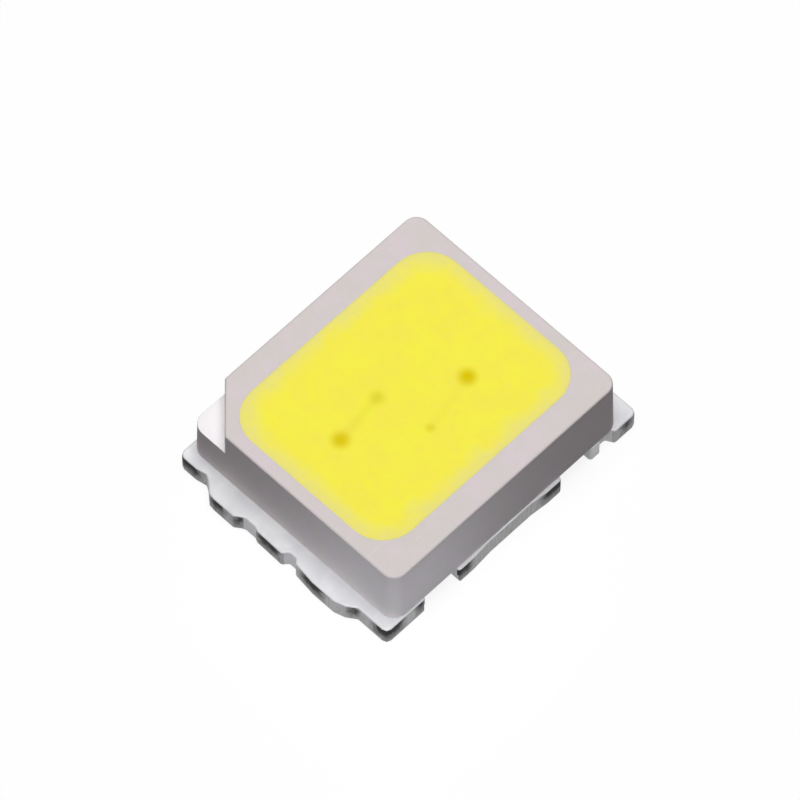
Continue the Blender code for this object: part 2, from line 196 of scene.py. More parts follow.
# The ledge starts this far out towards the cut corner, lies under this height, and faces up
TO_CUT_CORNER = (-math.sqrt(0.5), math.sqrt(0.5), 0)
LEDGE_FROM, LEDGE_UNDER = 1.69, 0.80
FACES_UP = {"From Min": 0.5, "From Max": 0.9}


def ledge_painted_sheen(node, place):
    """1 on the ledge of the cut corner, which faces up below the rim, where the sheen is painted.
    """
    outward = node("ShaderNodeVectorMath", {0: place, 1: TO_CUT_CORNER}, operation="DOT_PRODUCT")
    beyond = node("ShaderNodeMath", {0: outward, 1: LEDGE_FROM}, operation="GREATER_THAN")
    height = node("ShaderNodeSeparateXYZ", {0: place}).outputs["Z"]
    below = node("ShaderNodeMath", {0: height, 1: LEDGE_UNDER}, operation="LESS_THAN")
    normal = node("ShaderNodeNewGeometry").outputs["Normal"]
    upward = node("ShaderNodeMapRange",
                  {"Value": node("ShaderNodeSeparateXYZ", {0: normal}).outputs["Z"], **FACES_UP})
    there = node("ShaderNodeMath", {0: beyond, 1: below}, operation="MULTIPLY")
    return node("ShaderNodeMath", {0: there, 1: upward}, operation="MULTIPLY")


def moulded_polyamide():
    finish, node, place = start_finish("moulded_white_polyamide")
    clouds = node("ShaderNodeTexNoise", {"Vector": place, "Scale": 1 / CLOUD, "Detail": 3})
    cloudy = node("ShaderNodeMapRange", {"Value": clouds, **CRISP})
    flow = node("ShaderNodeMapping", {"Vector": place, "Scale": (FLOW_STRETCH, 1, 1)})
    fibres = node("ShaderNodeTexNoise", {"Vector": flow, "Scale": 1 / FIBRE, "Detail": 1})
    pale = node("ShaderNodeMapRange", {"Value": fibres, **FIBRE_SHOWS})
    tone = node("ShaderNodeMix", {0: cloudy, 1: linear("DDD1D4"), 2: linear("D8D1CD")},
                data_type="RGBA")
    tone = node("ShaderNodeMix", {0: pale, 1: tone, 2: linear("E8E0E0")}, data_type="RGBA")
    # Painted sheen: the ledge of the cut corner is painted nearly white
    ledge = ledge_painted_sheen(node, place)
    tone = node("ShaderNodeMix", {0: ledge, 1: tone, 2: linear("FBF7F9")}, data_type="RGBA")
    grain = node("ShaderNodeTexNoise", {"Vector": place, "Scale": 1 / FIBRE, "Detail": 1})
    shader = node("ShaderNodeBsdfPrincipled", {
        "Base Color": tone,
        "Roughness": node("ShaderNodeMapRange",
                          {"Value": fibres, **SOFT, "To Min": 0.55, "To Max": 0.70}),
        "IOR": 1.53,
        "Specular IOR Level": 0.18,
        "Subsurface Weight": 0.15,
        "Subsurface Radius": (1.0, 0.9, 0.85),
        "Subsurface Scale": 0.05 * MM,
        "Normal": node("ShaderNodeBump", {"Height": grain, "Distance": GRAIN_DEPTH * MM}),
    })
    node("ShaderNodeOutputMaterial", {"Surface": shader})
    return finish


WHITE_PLASTIC = moulded_polyamide()
print("made", WHITE_PLASTIC.name)

# %% [markdown]
# ## The leads' plating
#
# The leads are stamped from a copper strip and plated with matt silver, which is nearly white and
# scatters light more than it mirrors. The strip was rolled, which leaves faint lines along it.
# Last of all the finished parts are cut out of the strip. Those cuts come after the plating, so
# the trimmed ends show dull grey metal under a rolled-over bright edge. Along the cuts are nearly
# black patches, darkest near the top, and painted light from the floor makes them lighter
# towards the underside.
#
# Each lead is one piece of metal, so it gets one material. Painting the cuts by hand would need
# a picture, so two masks find them: the first asks which upright faces lie at a trimmed end, the
# second how near a point is to one of the dark patches, with noise to make their outlines ragged.

# %% Where the plating was cut through
CATHODE_TIP, SIDE = corners("cathode_lead")[0].x, corners("cathode_lead")[1].y
ANODE_TIP = corners("anode_lead")[1].x
# How far behind the tips, the tips' ears and the sides a cut face can lie, and where ears start
TIP_CUT, EAR_CUT, SIDE_CUT, EAR_FROM = 0.055, 0.180, 0.027, 0.90
# An upright face's normal rises less than this, and the bright rolled edge starts at this height
UPRIGHT_UNDER, EDGE_FROM, EDGE_FADE = 0.5, 0.228, 0.01
# Dark patches: the size of the noise that bends them, how far it does, and how softly they end.
# They are darkest above a height, and below it painted floor light fades them towards the
# underside.
RAGGED, WANDER, FADE = 0.07, 0.14, 0.13
LIGHTER_BELOW_PAINTED = {"From Min": 0.0, "From Max": 0.16}

# Where they are: (place along the edge, how far the darkest part reaches to either side). One
# that reaches less than nothing doesn't get quite dark. Along the cathode's tip the middle number
# is how far the trimmed edge is set back there.
DARK_ALONG_TIP = ((1.26, 0.12, 0.08), (0.755, 0.0, 0.03), (0.49, 0.03, -0.02), (0.11, 0.04, 0.08),
                  (-0.49, 0.02, 0.09), (-0.96, 0.10, -0.02), (-1.37, 0.12, 0.10))
DARK_ALONG_SIDE = ((-1.58, 0.09), (-1.18, 0.0), (-0.66, 0.07), (0.60, 0.09), (1.58, -0.01))
DARK_PATCHES = [(CATHODE_TIP + setback, y, reach) for y, setback, reach in DARK_ALONG_TIP]
DARK_PATCHES += [(x, -SIDE, reach) for x, reach in DARK_ALONG_SIDE]
DARK_PATCHES += [(-x, SIDE, reach) for x, reach in DARK_ALONG_SIDE]
DARK_PATCHES += [(ANODE_TIP, -y, reach) for y, _, reach in DARK_ALONG_TIP]
print("torn patches:", len(DARK_PATCHES))


def sheared_faces(node, place):
    """1 on the upright faces that the last cut went through, and 0 on plated ones."""
    spot = node("ShaderNodeSeparateXYZ", {0: place})
    along, across = spot.outputs["X"], spot.outputs["Y"]
    aside = node("ShaderNodeMath", {0: across}, operation="ABSOLUTE")
    on_ear = node("ShaderNodeMath", {0: aside, 1: EAR_FROM}, operation="GREATER_THAN")
    depth = node("ShaderNodeMath", {0: on_ear, 1: EAR_CUT - TIP_CUT, 2: TIP_CUT},
                 operation="MULTIPLY_ADD")
    from_cathode = node("ShaderNodeMath", {0: along, 1: CATHODE_TIP}, operation="SUBTRACT")
    from_anode = node("ShaderNodeMath", {0: ANODE_TIP, 1: along}, operation="SUBTRACT")
    from_tip = node("ShaderNodeMath", {0: from_cathode, 1: from_anode}, operation="MINIMUM")
    at_tip = node("ShaderNodeMath", {0: from_tip, 1: depth}, operation="LESS_THAN")
    at_side = node("ShaderNodeMath", {0: aside, 1: SIDE - SIDE_CUT}, operation="GREATER_THAN")
    trimmed = node("ShaderNodeMath", {0: at_tip, 1: at_side}, operation="MAXIMUM")
    normal = node("ShaderNodeNewGeometry").outputs["True Normal"]
    tilt = node("ShaderNodeMath", {0: node("ShaderNodeSeparateXYZ", {0: normal}).outputs["Z"]},
                operation="ABSOLUTE")
    upright = node("ShaderNodeMath", {0: tilt, 1: UPRIGHT_UNDER}, operation="LESS_THAN")
    below_edge = node("ShaderNodeMapRange",
                      {"Value": spot.outputs["Z"], "From Min": EDGE_FROM,
                       "From Max": EDGE_FROM + EDGE_FADE, "To Min": 1, "To Max": 0})
    cut = node("ShaderNodeMath", {0: trimmed, 1: upright}, operation="MULTIPLY")
    return node("ShaderNodeMath", {0: cut, 1: below_edge}, operation="MULTIPLY")


def dark_patches_floor_lit(node, place):
    """Up to 1 in the dark patches along the cuts, ragged, with painted floor light fading them
    below.
    """
    wander = node("ShaderNodeTexNoise", {"Vector": place, "Scale": 1 / RAGGED, "Detail": 3})
    aside = node("ShaderNodeVectorMath", {0: wander.outputs["Color"], 1: (NOISE_MIDDLE,) * 3},
                 operation="SUBTRACT")
    moved = node("ShaderNodeVectorMath", {0: aside, 1: (WANDER,) * 3, 2: place},
                 operation="MULTIPLY_ADD")
    flat = node("ShaderNodeVectorMath", {0: moved, 1: (1, 1, 0)}, operation="MULTIPLY")
    dark = None
    for x, y, reach in DARK_PATCHES:
        away = node("ShaderNodeVectorMath", {0: flat, 1: (x, y, 0)}, operation="DISTANCE")
        patch = node("ShaderNodeMapRange",
                     {"Value": away, "From Min": reach, "From Max": reach + FADE,
                      "To Min": 1, "To Max": 0}, interpolation_type="SMOOTHSTEP")
        dark = patch if dark is None else node("ShaderNodeMath", {0: dark, 1: patch},
                                               operation="MAXIMUM")
    # Painted light from the floor: the patches fade towards the underside
    height = node("ShaderNodeSeparateXYZ", {0: moved}).outputs["Z"]
    above_floor_light = node("ShaderNodeMapRange", {"Value": height, **LIGHTER_BELOW_PAINTED})
    return node("ShaderNodeMath", {0: dark, 1: above_floor_light}, operation="MULTIPLY")


# %% [markdown]
# ### The plated strip
#
# Bright silver would be a smooth metal, but the fine crystals of matt silver scatter light
# almost as chalk does, so the shader is only partly metallic, and rough. Noise drawn out along
# the strip gives the rolled lines, and noise drawn out upright gives the punch's scores. Both
# are really a few thousandths of a millimetre wide, so they are drawn coarser, to show.

# %% Silver plating with sheared ends
ROLLED_LINE, LINE_DEPTH, PLATING_PATCH, SHEAR_STREAK = 0.03, 0.0014, 0.25, 0.018
LINE_STRETCH, STREAK_STRETCH = 0.08, 0.12


def plated_strip():
    finish, node, place = start_finish("silver_plated_copper_strip")
    rolled = node("ShaderNodeMapping", {"Vector": place, "Scale": (LINE_STRETCH, 1, 1)})
    lines = node("ShaderNodeTexNoise", {"Vector": rolled, "Scale": 1 / ROLLED_LINE, "Detail": 2})
    patches = node("ShaderNodeTexNoise",
                   {"Vector": place, "Scale": 1 / PLATING_PATCH, "Detail": 2})
    dull = node("ShaderNodeMapRange", {"Value": patches, **CLEAR})
    silver = node("ShaderNodeMix", {0: dull, 1: linear("CECED0"), 2: linear("C2C2C5")},
                  data_type="RGBA")
    cut = sheared_faces(node, place)
    punched = node("ShaderNodeMapping", {"Vector": place, "Scale": (1, 1, STREAK_STRETCH)})
    streaks = node("ShaderNodeTexNoise",
                   {"Vector": punched, "Scale": 1 / SHEAR_STREAK, "Detail": 2})
    scored = node("ShaderNodeMapRange", {"Value": streaks, **CLEAR})
    bare = node("ShaderNodeMix", {0: scored, 1: linear("ACAAAA"), 2: linear("C2C0C0")},
                data_type="RGBA")
    # Nearly black patches on the cuts, painted lighter towards the underside as floor light
    metal = node("ShaderNodeMix", {0: dark_patches_floor_lit(node, place), 1: bare, 2: linear("262424")},
                 data_type="RGBA")
    tone = node("ShaderNodeMix", {0: cut, 1: silver, 2: metal}, data_type="RGBA")
    rough = node("ShaderNodeMath", {0: lines, 1: cut}, operation="ADD")
    shader = node("ShaderNodeBsdfPrincipled", {
        "Base Color": tone,
        "Metallic": 0.6,
        "Roughness": node("ShaderNodeMapRange",
                          {"Value": rough, "From Min": 0.2, "From Max": 1.6,
                           "To Min": 0.64, "To Max": 0.78}),
        "Normal": node("ShaderNodeBump", {"Height": lines, "Distance": LINE_DEPTH * MM}),
    })
    node("ShaderNodeOutputMaterial", {"Surface": shader})
    return finish


SILVER = plated_strip()
print("made", SILVER.name)

# %% [markdown]
# ## The phosphor silicone
#
# Two-part silicone with yellow phosphor powder is dispensed into the cavity and cured. It is a
# strong lemon yellow, paler round the edge, where the fill is thin over the sloping white wall.
# The powder shows as a faint mottle. The gold balls under it show as soft amber spots, the two on
# the leads larger than the two on the chip, with a trace of the wire between them.
#
# The silicone could be a real volume with the balls inside, but so dense a volume renders slowly
# and full of noise, so its surface carries what shows from outside. Seen through the silicone,
# the balls stand a little nearer to the corner that the photograph was taken from, which
# `SEEN_SHIFT` repeats on the surface.

# %% Where the balls show
SEEN_SHIFT = Vector((-0.140, -0.1165, 0))
LEAD_BALL, CHIP_BALL = 0.060, 0.040


def balls(node, side):
    """A wire's ball on its lead and its ball on the chip, in mm, from the CAD wire's corners.

    The cathode's wire is at side -1 and runs from low x, low y to high x, high y. The anode's is
    the same turned half round.
    """
    near, far = corners(node)
    lead_end, chip_end = (near, far) if side < 0 else (far, near)
    on_lead = lead_end - side * Vector((LEAD_BALL, LEAD_BALL, 0))
    on_chip = chip_end + side * Vector((CHIP_BALL, CHIP_BALL, 0))
    return on_lead, on_chip


WIRES = {"cathode_bond_wire": -1, "anode_bond_wire": 1}
BALLS = {wire: balls(wire, side) for wire, side in WIRES.items()}
for wire, pair in BALLS.items():
    print(wire, "balls at", [tuple(round(part, 2) for part in ball.xy) for ball in pair])

# %% [markdown]
# ### Distances on the surface
#
# The pale edge and the spots are both a matter of distance, so nodes measure it: from the edge
# of a rectangle with round corners, and from the straight line between two places. The distance
# from one point would only do for the round spots.

# %% Distances on the silicone's surface
FILL_LOW, FILL_HIGH = corners("phosphor_encapsulant")
WINDOW_CORNER = 0.385


def from_the_rim(node, flat):
    """Distance in from the window's edge in mm, negative outside it."""
    inner = Vector((FILL_HIGH.x - WINDOW_CORNER, FILL_HIGH.y - WINDOW_CORNER, 0))
    folded = node("ShaderNodeVectorMath", {0: flat}, operation="ABSOLUTE")
    past = node("ShaderNodeVectorMath", {0: folded, 1: inner}, operation="SUBTRACT")
    beyond = node("ShaderNodeVectorMath", {0: past, 1: (0, 0, 0)}, operation="MAXIMUM")
    outside = node("ShaderNodeVectorMath", {0: beyond}, operation="LENGTH")
    parts = node("ShaderNodeSeparateXYZ", {0: past})
    larger = node("ShaderNodeMath", {0: parts.outputs["X"], 1: parts.outputs["Y"]},
                  operation="MAXIMUM")
    inside = node("ShaderNodeMath", {0: larger, 1: 0}, operation="MINIMUM")
    edge = node("ShaderNodeMath", {0: outside, 1: inside}, operation="ADD")
    return node("ShaderNodeMath", {0: WINDOW_CORNER, 1: edge}, operation="SUBTRACT")


def from_the_wire(node, flat, start, end):
    """Distance from the straight line between two places, in mm."""
    run = end - start
    toward = node("ShaderNodeVectorMath", {0: flat, 1: start}, operation="SUBTRACT")
    share = node("ShaderNodeVectorMath", {0: toward, 1: run / run.length_squared},
                 operation="DOT_PRODUCT")
    held = node("ShaderNodeClamp", {0: share})
    nearest = node("ShaderNodeVectorMath", {0: run, "Scale": held}, operation="SCALE")
    return node("ShaderNodeVectorMath", {0: toward, 1: nearest}, operation="DISTANCE")


print("window in mm:", [round(size, 3) for size in FILL_HIGH - FILL_LOW])

# %% [markdown]
# ### The silicone's finish
#
# The finish is built up as paint would be: mottled yellow first, then the pale edge over it, then
# the amber spots. The powder's grains are about 0.01 mm, and are drawn at 0.025 mm, so that the
# mottle shows. Cured silicone is satin, and red and green light go further into it than blue,
# which the powder swallows.

# %% The silicone's finish
# For each wire: how strongly its ball on the lead, its ball on the chip and the wire itself
# show, and how far the ball on the chip spreads
SHOWN = {"cathode_bond_wire": (0.92, 0.46, 0.15, 0.125),
         "anode_bond_wire": (1.0, 0.44, 0.06, 0.075)}
# How far the wire's trace spreads, how far the lead's ball does, and the even middle of each ball
TRACE_SPREAD, LEAD_SPREAD, LEAD_CORE, CHIP_CORE = 0.085, 0.145, 0.015, 0.01
CLOUDS, POWDER, POWDER_DEPTH = 0.22, 0.025, 0.0010
GRAINS_SHOW = {"From Min": 0.55, "From Max": 0.8, "To Max": 0.35}
# The pale edge: how far in it is palest and where it ends, and how much the clouds move both
PALEST, PALE_END, PALE_WANDER = 0.155, 0.405, 0.35


def amber_spots(node, flat, tone):
    """The yellow with the balls and wires showing through."""
    for wire, (lead_ball, chip_ball, line, spread) in SHOWN.items():
        on_lead, on_chip = (Vector((ball.x, ball.y, 0)) + SEEN_SHIFT for ball in BALLS[wire])
        from_lead, from_chip = (
            node("ShaderNodeVectorMath", {0: flat, 1: ball}, operation="DISTANCE")
            for ball in (on_lead, on_chip))
        beside = from_the_wire(node, flat, on_lead, on_chip)
        for away, strength, start, end, colour in (
            (beside, line, 0.0, TRACE_SPREAD, "CCC820"),
            (from_lead, lead_ball, LEAD_CORE, LEAD_SPREAD, "E4CC00"),
            (from_chip, chip_ball, CHIP_CORE, spread, "DCCC00"),
        ):
            near = node("ShaderNodeMapRange",
                        {"Value": away, "From Min": start, "From Max": end,
                         "To Min": strength, "To Max": 0}, interpolation_type="SMOOTHSTEP")
            tone = node("ShaderNodeMix", {0: near, 1: tone, 2: linear(colour)}, data_type="RGBA")
    return tone


def phosphor_silicone():
    finish, node, place = start_finish("yellow_phosphor_silicone")
    flat = node("ShaderNodeVectorMath", {0: place, 1: (1, 1, 0)}, operation="MULTIPLY")
    clouds = node("ShaderNodeTexNoise", {"Vector": place, "Scale": 1 / CLOUDS, "Detail": 3})
    powder = node("ShaderNodeTexNoise", {"Vector": place, "Scale": 1 / POWDER, "Detail": 2})
    cloudy = node("ShaderNodeMapRange", {"Value": clouds, **CRISP})
    grains = node("ShaderNodeMapRange", {"Value": powder, **GRAINS_SHOW})
    uneven = node("ShaderNodeMath", {0: clouds, 1: PALE_WANDER, 2: from_the_rim(node, flat)},
                  operation="MULTIPLY_ADD")
    thin = node("ShaderNodeMapRange", {"Value": uneven, "From Min": PALEST, "From Max": PALE_END,
                                       "To Min": 1, "To Max": 0}, interpolation_type="SMOOTHSTEP")
    yellow = node("ShaderNodeMix", {0: cloudy, 1: linear("FFF64E"), 2: linear("FFF155")},
                  data_type="RGBA")
    yellow = node("ShaderNodeMix", {0: grains, 1: yellow, 2: linear("FFF374")}, data_type="RGBA")
    tone = node("ShaderNodeMix", {0: thin, 1: yellow, 2: linear("F4EA84")}, data_type="RGBA")
    shader = node("ShaderNodeBsdfPrincipled", {
        "Base Color": amber_spots(node, flat, tone),
        "Roughness": node("ShaderNodeMapRange",
                          {"Value": powder, **SOFT, "To Min": 0.42, "To Max": 0.54}),
        "IOR": 1.41,
        "Specular IOR Level": 0.05,
        "Subsurface Weight": 0.15,
        "Subsurface Radius": (1.0, 0.9, 0.25),
        "Subsurface Scale": 0.06 * MM,
        "Normal": node("ShaderNodeBump", {"Height": powder, "Distance": POWDER_DEPTH * MM}),
    })
    node("ShaderNodeOutputMaterial", {"Surface": shader})
    return finish


PHOSPHOR = phosphor_silicone()
print("made", PHOSPHOR.name)

# %% [markdown]
# ## Gold, sapphire and glue
#
# The pieces inside the silicone don't show in a finished part, but they are real pieces, so
# they have real finishes. The wires and electrodes are gold: warm, soft and slightly dulled.
# The chip is sapphire with a thin blue-emitting layer, so it is a clear grey blue with a
# polished face. The glue under it is clear silicone, a little milky. All three are two close
# tones in soft patches with a fine relief, so one recipe makes them.

# %% Finishes of the inner pieces


def patchy_finish(name, first, second, patch, smooth, rough, depth, **fixed):
    """Two close tones in patches `patch` mm across, with a relief `depth` mm deep."""
    finish, node, place = start_finish(name)
    clouds = node("ShaderNodeTexNoise", {"Vector": place, "Scale": 1 / patch, "Detail": 3})
    cloudy = node("ShaderNodeMapRange", {"Value": clouds, **CRISP})
    shader = node("ShaderNodeBsdfPrincipled", {
        "Base Color": node("ShaderNodeMix", {0: cloudy, 1: linear(first), 2: linear(second)},
                           data_type="RGBA"),
        "Roughness": node("ShaderNodeMapRange",
                          {"Value": clouds, **CLEAR, "To Min": smooth, "To Max": rough}),
        "Normal": node("ShaderNodeBump", {"Height": clouds, "Distance": depth * MM}),
        **{socket.replace("_", " "): value for socket, value in fixed.items()},
    })
    node("ShaderNodeOutputMaterial", {"Surface": shader})
    return finish


GOLD = patchy_finish("drawn_gold", "E7BE62", "DDAE4E", 0.02, 0.22, 0.34, 0.0003, Metallic=1.0)
SAPPHIRE = patchy_finish("polished_sapphire", "8FA9D8", "7E9BD2", 0.08, 0.06, 0.12, 0.0001,
                         IOR=1.77, Transmission_Weight=0.4)
GLUE = patchy_finish("die_attach_silicone", "E6E4DA", "DCDACD", 0.05, 0.25, 0.35, 0.0003,
                     IOR=1.41, Transmission_Weight=0.3)
print("made", GOLD.name, SAPPHIRE.name, GLUE.name)

# %% [markdown]
# ## Real edges on the moulded and stamped pieces
#
# No moulded or stamped edge is perfectly sharp, and the thin line of light along an edge is what
# makes a part look solid. The CAD pieces already have the radii that can be measured, so each
# is copied, its loose triangles are joined, flat faces are made whole, and the edges that are
# still sharp are rounded by a few thousandths of a millimetre. The work is done in millimetres,
# because Blender's joining and rounding are too coarse for a part this small in metres. Edges
# low down on the housing stay sharp: the leads hide them.

# %% Copy a CAD piece
JOIN_WITHIN = 0.0005
FLAT_WITHIN = math.radians(0.5)


def copied(node):
    """The CAD node's mesh in millimetres, with its loose triangles joined."""
    work = bmesh.new()
    work.from_mesh(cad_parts[node].data)
    bmesh.ops.scale(work, vec=(1 / MM,) * 3, verts=work.verts)
    bmesh.ops.remove_doubles(work, verts=work.verts, dist=JOIN_WITHIN)
    bmesh.ops.dissolve_limit(work, angle_limit=FLAT_WITHIN, verts=work.verts, edges=work.edges)
    work.normal_update()
    for face in work.faces:
        face.smooth = True
    return work


def new_piece(name, work=None):
    """A scene object with the given mesh, or with an empty one for a modifier to fill."""
    mesh = bpy.data.meshes.new(name)
    if work:
        work.to_mesh(mesh)
        work.free()
    piece = bpy.data.objects.new(name, mesh)
    bpy.context.scene.collection.objects.link(piece)
    return piece


def settled(piece, node, material):
    """The piece as a plain mesh in metres, which stands for its CAD node."""
    graph = bpy.context.evaluated_depsgraph_get()
    made = bpy.data.meshes.new_from_object(piece.evaluated_get(graph))
    piece.modifiers.clear()
    old, piece.data = piece.data, made
    bpy.data.meshes.remove(old)
    made.name = piece.name
    for vertex in made.vertices:
        vertex.co *= MM
    made.update()
    made.materials.clear()
    made.materials.append(material)
    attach(piece, BODY)
    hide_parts(node)
    print(piece.name, "has", len(made.polygons), "faces")


print("points closer than", JOIN_WITHIN, "mm are joined")

# %% [markdown]
# ### Rounding what is still sharp
#
# A Bevel modifier could pick the edges by angle alone, but it would also round the fine rings of
# the CAD's own radii. So each edge is looked at first, and only those chosen get a weight. The
# last modifier leans the shading of every rounding on the larger faces beside it.

# %% Round the edges of the housing and the leads
SHARP_OVER = math.radians(40)
# The housing's rim is rolled in the CAD already, between these heights
ROLLED_RIM = (0.99, 0.999)
MOULDED_EDGE, STAMPED_EDGE = 0.008, 0.005
# Edges above these heights are rounded: the upper half of the housing, and all of the leads
HOUSING_FROM, LEADS_FROM = 0.5, -1


def rounded(name, work, edge, lowest):
    """A piece whose sharp edges above `lowest` are rounded by `edge`, both in mm.

    Every other sharp edge is marked, so that the shading stops there, and flat faces stay flat.
    """
    weight = work.edges.layers.float.new("bevel_weight_edge")
    chosen = 0
    for line in work.edges:
        heights = [point.co.z for point in line.verts]
        sharp = line.calc_face_angle(0) > SHARP_OVER
        rolled = all(ROLLED_RIM[0] < height < ROLLED_RIM[1] for height in heights)
        round_it = sharp and min(heights) > lowest and not rolled
        line[weight] = float(round_it)
        line.smooth = round_it or not sharp
        chosen += round_it
    print(name, "has", chosen, "edges to round")
    piece = new_piece(name, work)
    bevel = piece.modifiers.new("edge", "BEVEL")
    bevel.limit_method = "WEIGHT"
    bevel.width, bevel.segments = edge, 2
    piece.modifiers.new("flat faces", "WEIGHTED_NORMAL").keep_sharp = True
    return piece


for node, name, edge, lowest, material in (
    ("housing", "housing_moulding", MOULDED_EDGE, HOUSING_FROM, WHITE_PLASTIC),
    ("cathode_lead", "cathode_strip", STAMPED_EDGE, LEADS_FROM, SILVER),
    ("anode_lead", "anode_strip", STAMPED_EDGE, LEADS_FROM, SILVER),
):
    settled(rounded(name, copied(node), edge, lowest), node, material)

# %% [markdown]
# ## The fill wets the wall
#
# Liquid silicone climbs a little at the wall and cures there, so no gap shows between the yellow
# and the white. The CAD fill stops three thousandths of a millimetre short of the wall, to keep
# the solids apart. Its top edge is the only part that shows, so the ring of points along it
# moves out until it meets the housing's rounded edge.

# %% The silicone fill
WETTED = 0.007


def wetted_fill():
    work = copied("phosphor_encapsulant")
    top = max(point.co.z for point in work.verts)
    edge = [point for point in work.verts if top - point.co.z < JOIN_WITHIN]
    for point in edge:
        outward = Vector((point.normal.x, point.normal.y, 0)).normalized()
        point.co += outward * WETTED
    print("points moved to the wall:", len(edge))
    piece = new_piece("phosphor_fill", work)
    piece.data.set_sharp_from_angle(angle=SHARP_OVER)
    return piece


settled(wetted_fill(), "phosphor_encapsulant", PHOSPHOR)

# %% [markdown]
# ## Gold wires
#
# A bonding machine melts the wire's tip to a ball, presses it on the chip, lifts the wire in a
# loop and presses it down on the lead. So a wire follows one rule, whatever it joins: up from
# the chip's ball, over, and down to the lead's ball. One Geometry Nodes tree makes it from its
# two ends: a Bezier segment with a round section, and two spheres pressed flat.

# %% The wire's tree
# The wire's thickness, how high a pressed ball stands, and how high the loop rises
WIRE, BALL_RISE, LOOP = 0.025, 0.024, 0.13
# How many sides the wire has, and how many segments a ball
ROUND_WIRE, ROUND_BALL = 12, 24
# A Bezier curve reaches three quarters of the height of its handles, so they stand higher than
# the loop. The second handle is also carried this share of the way to the lead.
HANDLE_RISES, HANDLE_REACH = (4 / 3, 7 / 6), 0.62


def ball_wire_tree():
    tree = bpy.data.node_groups.new("ball_wire", "GeometryNodeTree")
    for name, kind in (("On Chip", "Vector"), ("On Lead", "Vector"), ("Loop", "Float"),
                       ("Wire", "Float"), ("Chip Ball", "Float"), ("Lead Ball", "Float"),
                       ("Ball Rise", "Float")):
        tree.interface.new_socket(name, in_out="INPUT", socket_type="NodeSocket" + kind)
    tree.interface.new_socket("Geometry", in_out="OUTPUT", socket_type="NodeSocketGeometry")
    node = functools.partial(add, tree)
    given = node("NodeGroupInput").outputs
    run = node("ShaderNodeVectorMath", {0: given["On Lead"], 1: given["On Chip"]},
               operation="SUBTRACT")
    over = node("ShaderNodeVectorMath", {0: run, 1: (HANDLE_REACH, HANDLE_REACH, 0)},
                operation="MULTIPLY")
    handles = []
    for share in HANDLE_RISES:
        rise = node("ShaderNodeMath", {0: given["Loop"], 1: share}, operation="MULTIPLY")
        lifted = node("ShaderNodeCombineXYZ", {"Z": rise})
        handles.append(node("ShaderNodeVectorMath", {0: given["On Chip"], 1: lifted},
                            operation="ADD"))
    handles[1] = node("ShaderNodeVectorMath", {0: handles[1], 1: over}, operation="ADD")
    loop = node("GeometryNodeCurvePrimitiveBezierSegment",
                {"Resolution": ROUND_BALL, "Start": given["On Chip"], "Start Handle": handles[0],
                 "End Handle": handles[1], "End": given["On Lead"]})
    half = node("ShaderNodeMath", {0: given["Wire"], 1: 0.5}, operation="MULTIPLY")
    section = node("GeometryNodeCurvePrimitiveCircle", {"Resolution": ROUND_WIRE, "Radius": half})
    wire = node("GeometryNodeCurveToMesh",
                {"Curve": loop, "Profile Curve": section, "Fill Caps": True})
    parts = [wire]
    for place, across in (("On Chip", "Chip Ball"), ("On Lead", "Lead Ball")):
        size = node("ShaderNodeCombineXYZ", {"X": given[across], "Y": given[across],
                                             "Z": given["Ball Rise"]})
        ball = node("GeometryNodeMeshUVSphere",
                    {"Segments": ROUND_BALL, "Rings": ROUND_WIRE, "Radius": 0.5})
        parts.append(node("GeometryNodeTransform", {"Geometry": ball, "Scale": size,
                                                    "Translation": given[place]}))
    joined = node("GeometryNodeJoinGeometry")
    for part in parts:
        tree.links.new(part.outputs[0], joined.inputs[0])
    smooth = node("GeometryNodeSetShadeSmooth", {"Geometry": joined})
    real = node("GeometryNodeRealizeInstances", {"Geometry": smooth})
    gilded = node("GeometryNodeSetMaterial", {"Geometry": real, "Material": GOLD})
    node("NodeGroupOutput", {"Geometry": gilded})
    return tree


BALL_WIRE = ball_wire_tree()
print(BALL_WIRE.name, "has", len(BALL_WIRE.nodes), "nodes")

# %% [markdown]
# ### Both wires
#
# The modifier's inputs are set by their identifiers, because two inputs could share a name. The
# heights come from the CAD: each ball rests on the top of its electrode or its lead.

# %% Both wires, each ball resting on its electrode or lead


def ball_wire(wire):
    pole = wire.split("_")[0]
    on_lead, on_chip = (ball + MIDDLE for ball in BALLS[wire])
    on_lead.z = corners(f"{pole}_lead")[1].z + BALL_RISE / 2
    on_chip.z = corners(f"{pole}_electrode")[1].z + BALL_RISE / 2
    values = {"On Chip": tuple(on_chip), "On Lead": tuple(on_lead), "Loop": LOOP, "Wire": WIRE,
              "Chip Ball": 2 * CHIP_BALL, "Lead Ball": 2 * LEAD_BALL, "Ball Rise": BALL_RISE}
    piece = new_piece(f"{pole}_gold_wire")
    modifier = piece.modifiers.new("ball wire", "NODES")
    modifier.node_group = BALL_WIRE
    for socket in BALL_WIRE.interface.items_tree:
        if socket.in_out == "INPUT":
            modifier[socket.identifier] = values[socket.name]
    settled(piece, wire, GOLD)


for wire in WIRES:
    ball_wire(wire)

# %% [markdown]
# ## Finishes on the CAD pieces that stay as they are
#
# The chip, electrodes and glue already have their right shapes. They keep their CAD meshes, and
# only their material slots change.

# %% New finishes in the CAD pieces' slots
for node, material in {
    "led_chip": SAPPHIRE,
    "die_attach": GLUE,
    "cathode_electrode": GOLD,
    "anode_electrode": GOLD,
}.items():
    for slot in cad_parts[node].material_slots:
        slot.material = material
    print(node, "is", material.name)

# %% [markdown]
# ## Floor and light
#
# The photograph has a white background and very even light: the top is well lit, and the two near
# sides are in shade, lightest at the corner between them. A broad, soft key light stands almost
# overhead, so it reaches the tops of the leads too. A weak sky fills the shade, and two small
# soft lamps each face one near side close to the corner, so the light falls off away from it.
# The floor gives only a little light back, so that the sides stay grey, but the camera,
# reflections and glass see it as white, with the part's soft shadow on it. More light would
# whiten the floor too, but it would burn out the pale plastic first.

# %% Floor and sky
FLOOR_ACROSS, FLOOR_BELOW = 400, 0.0005
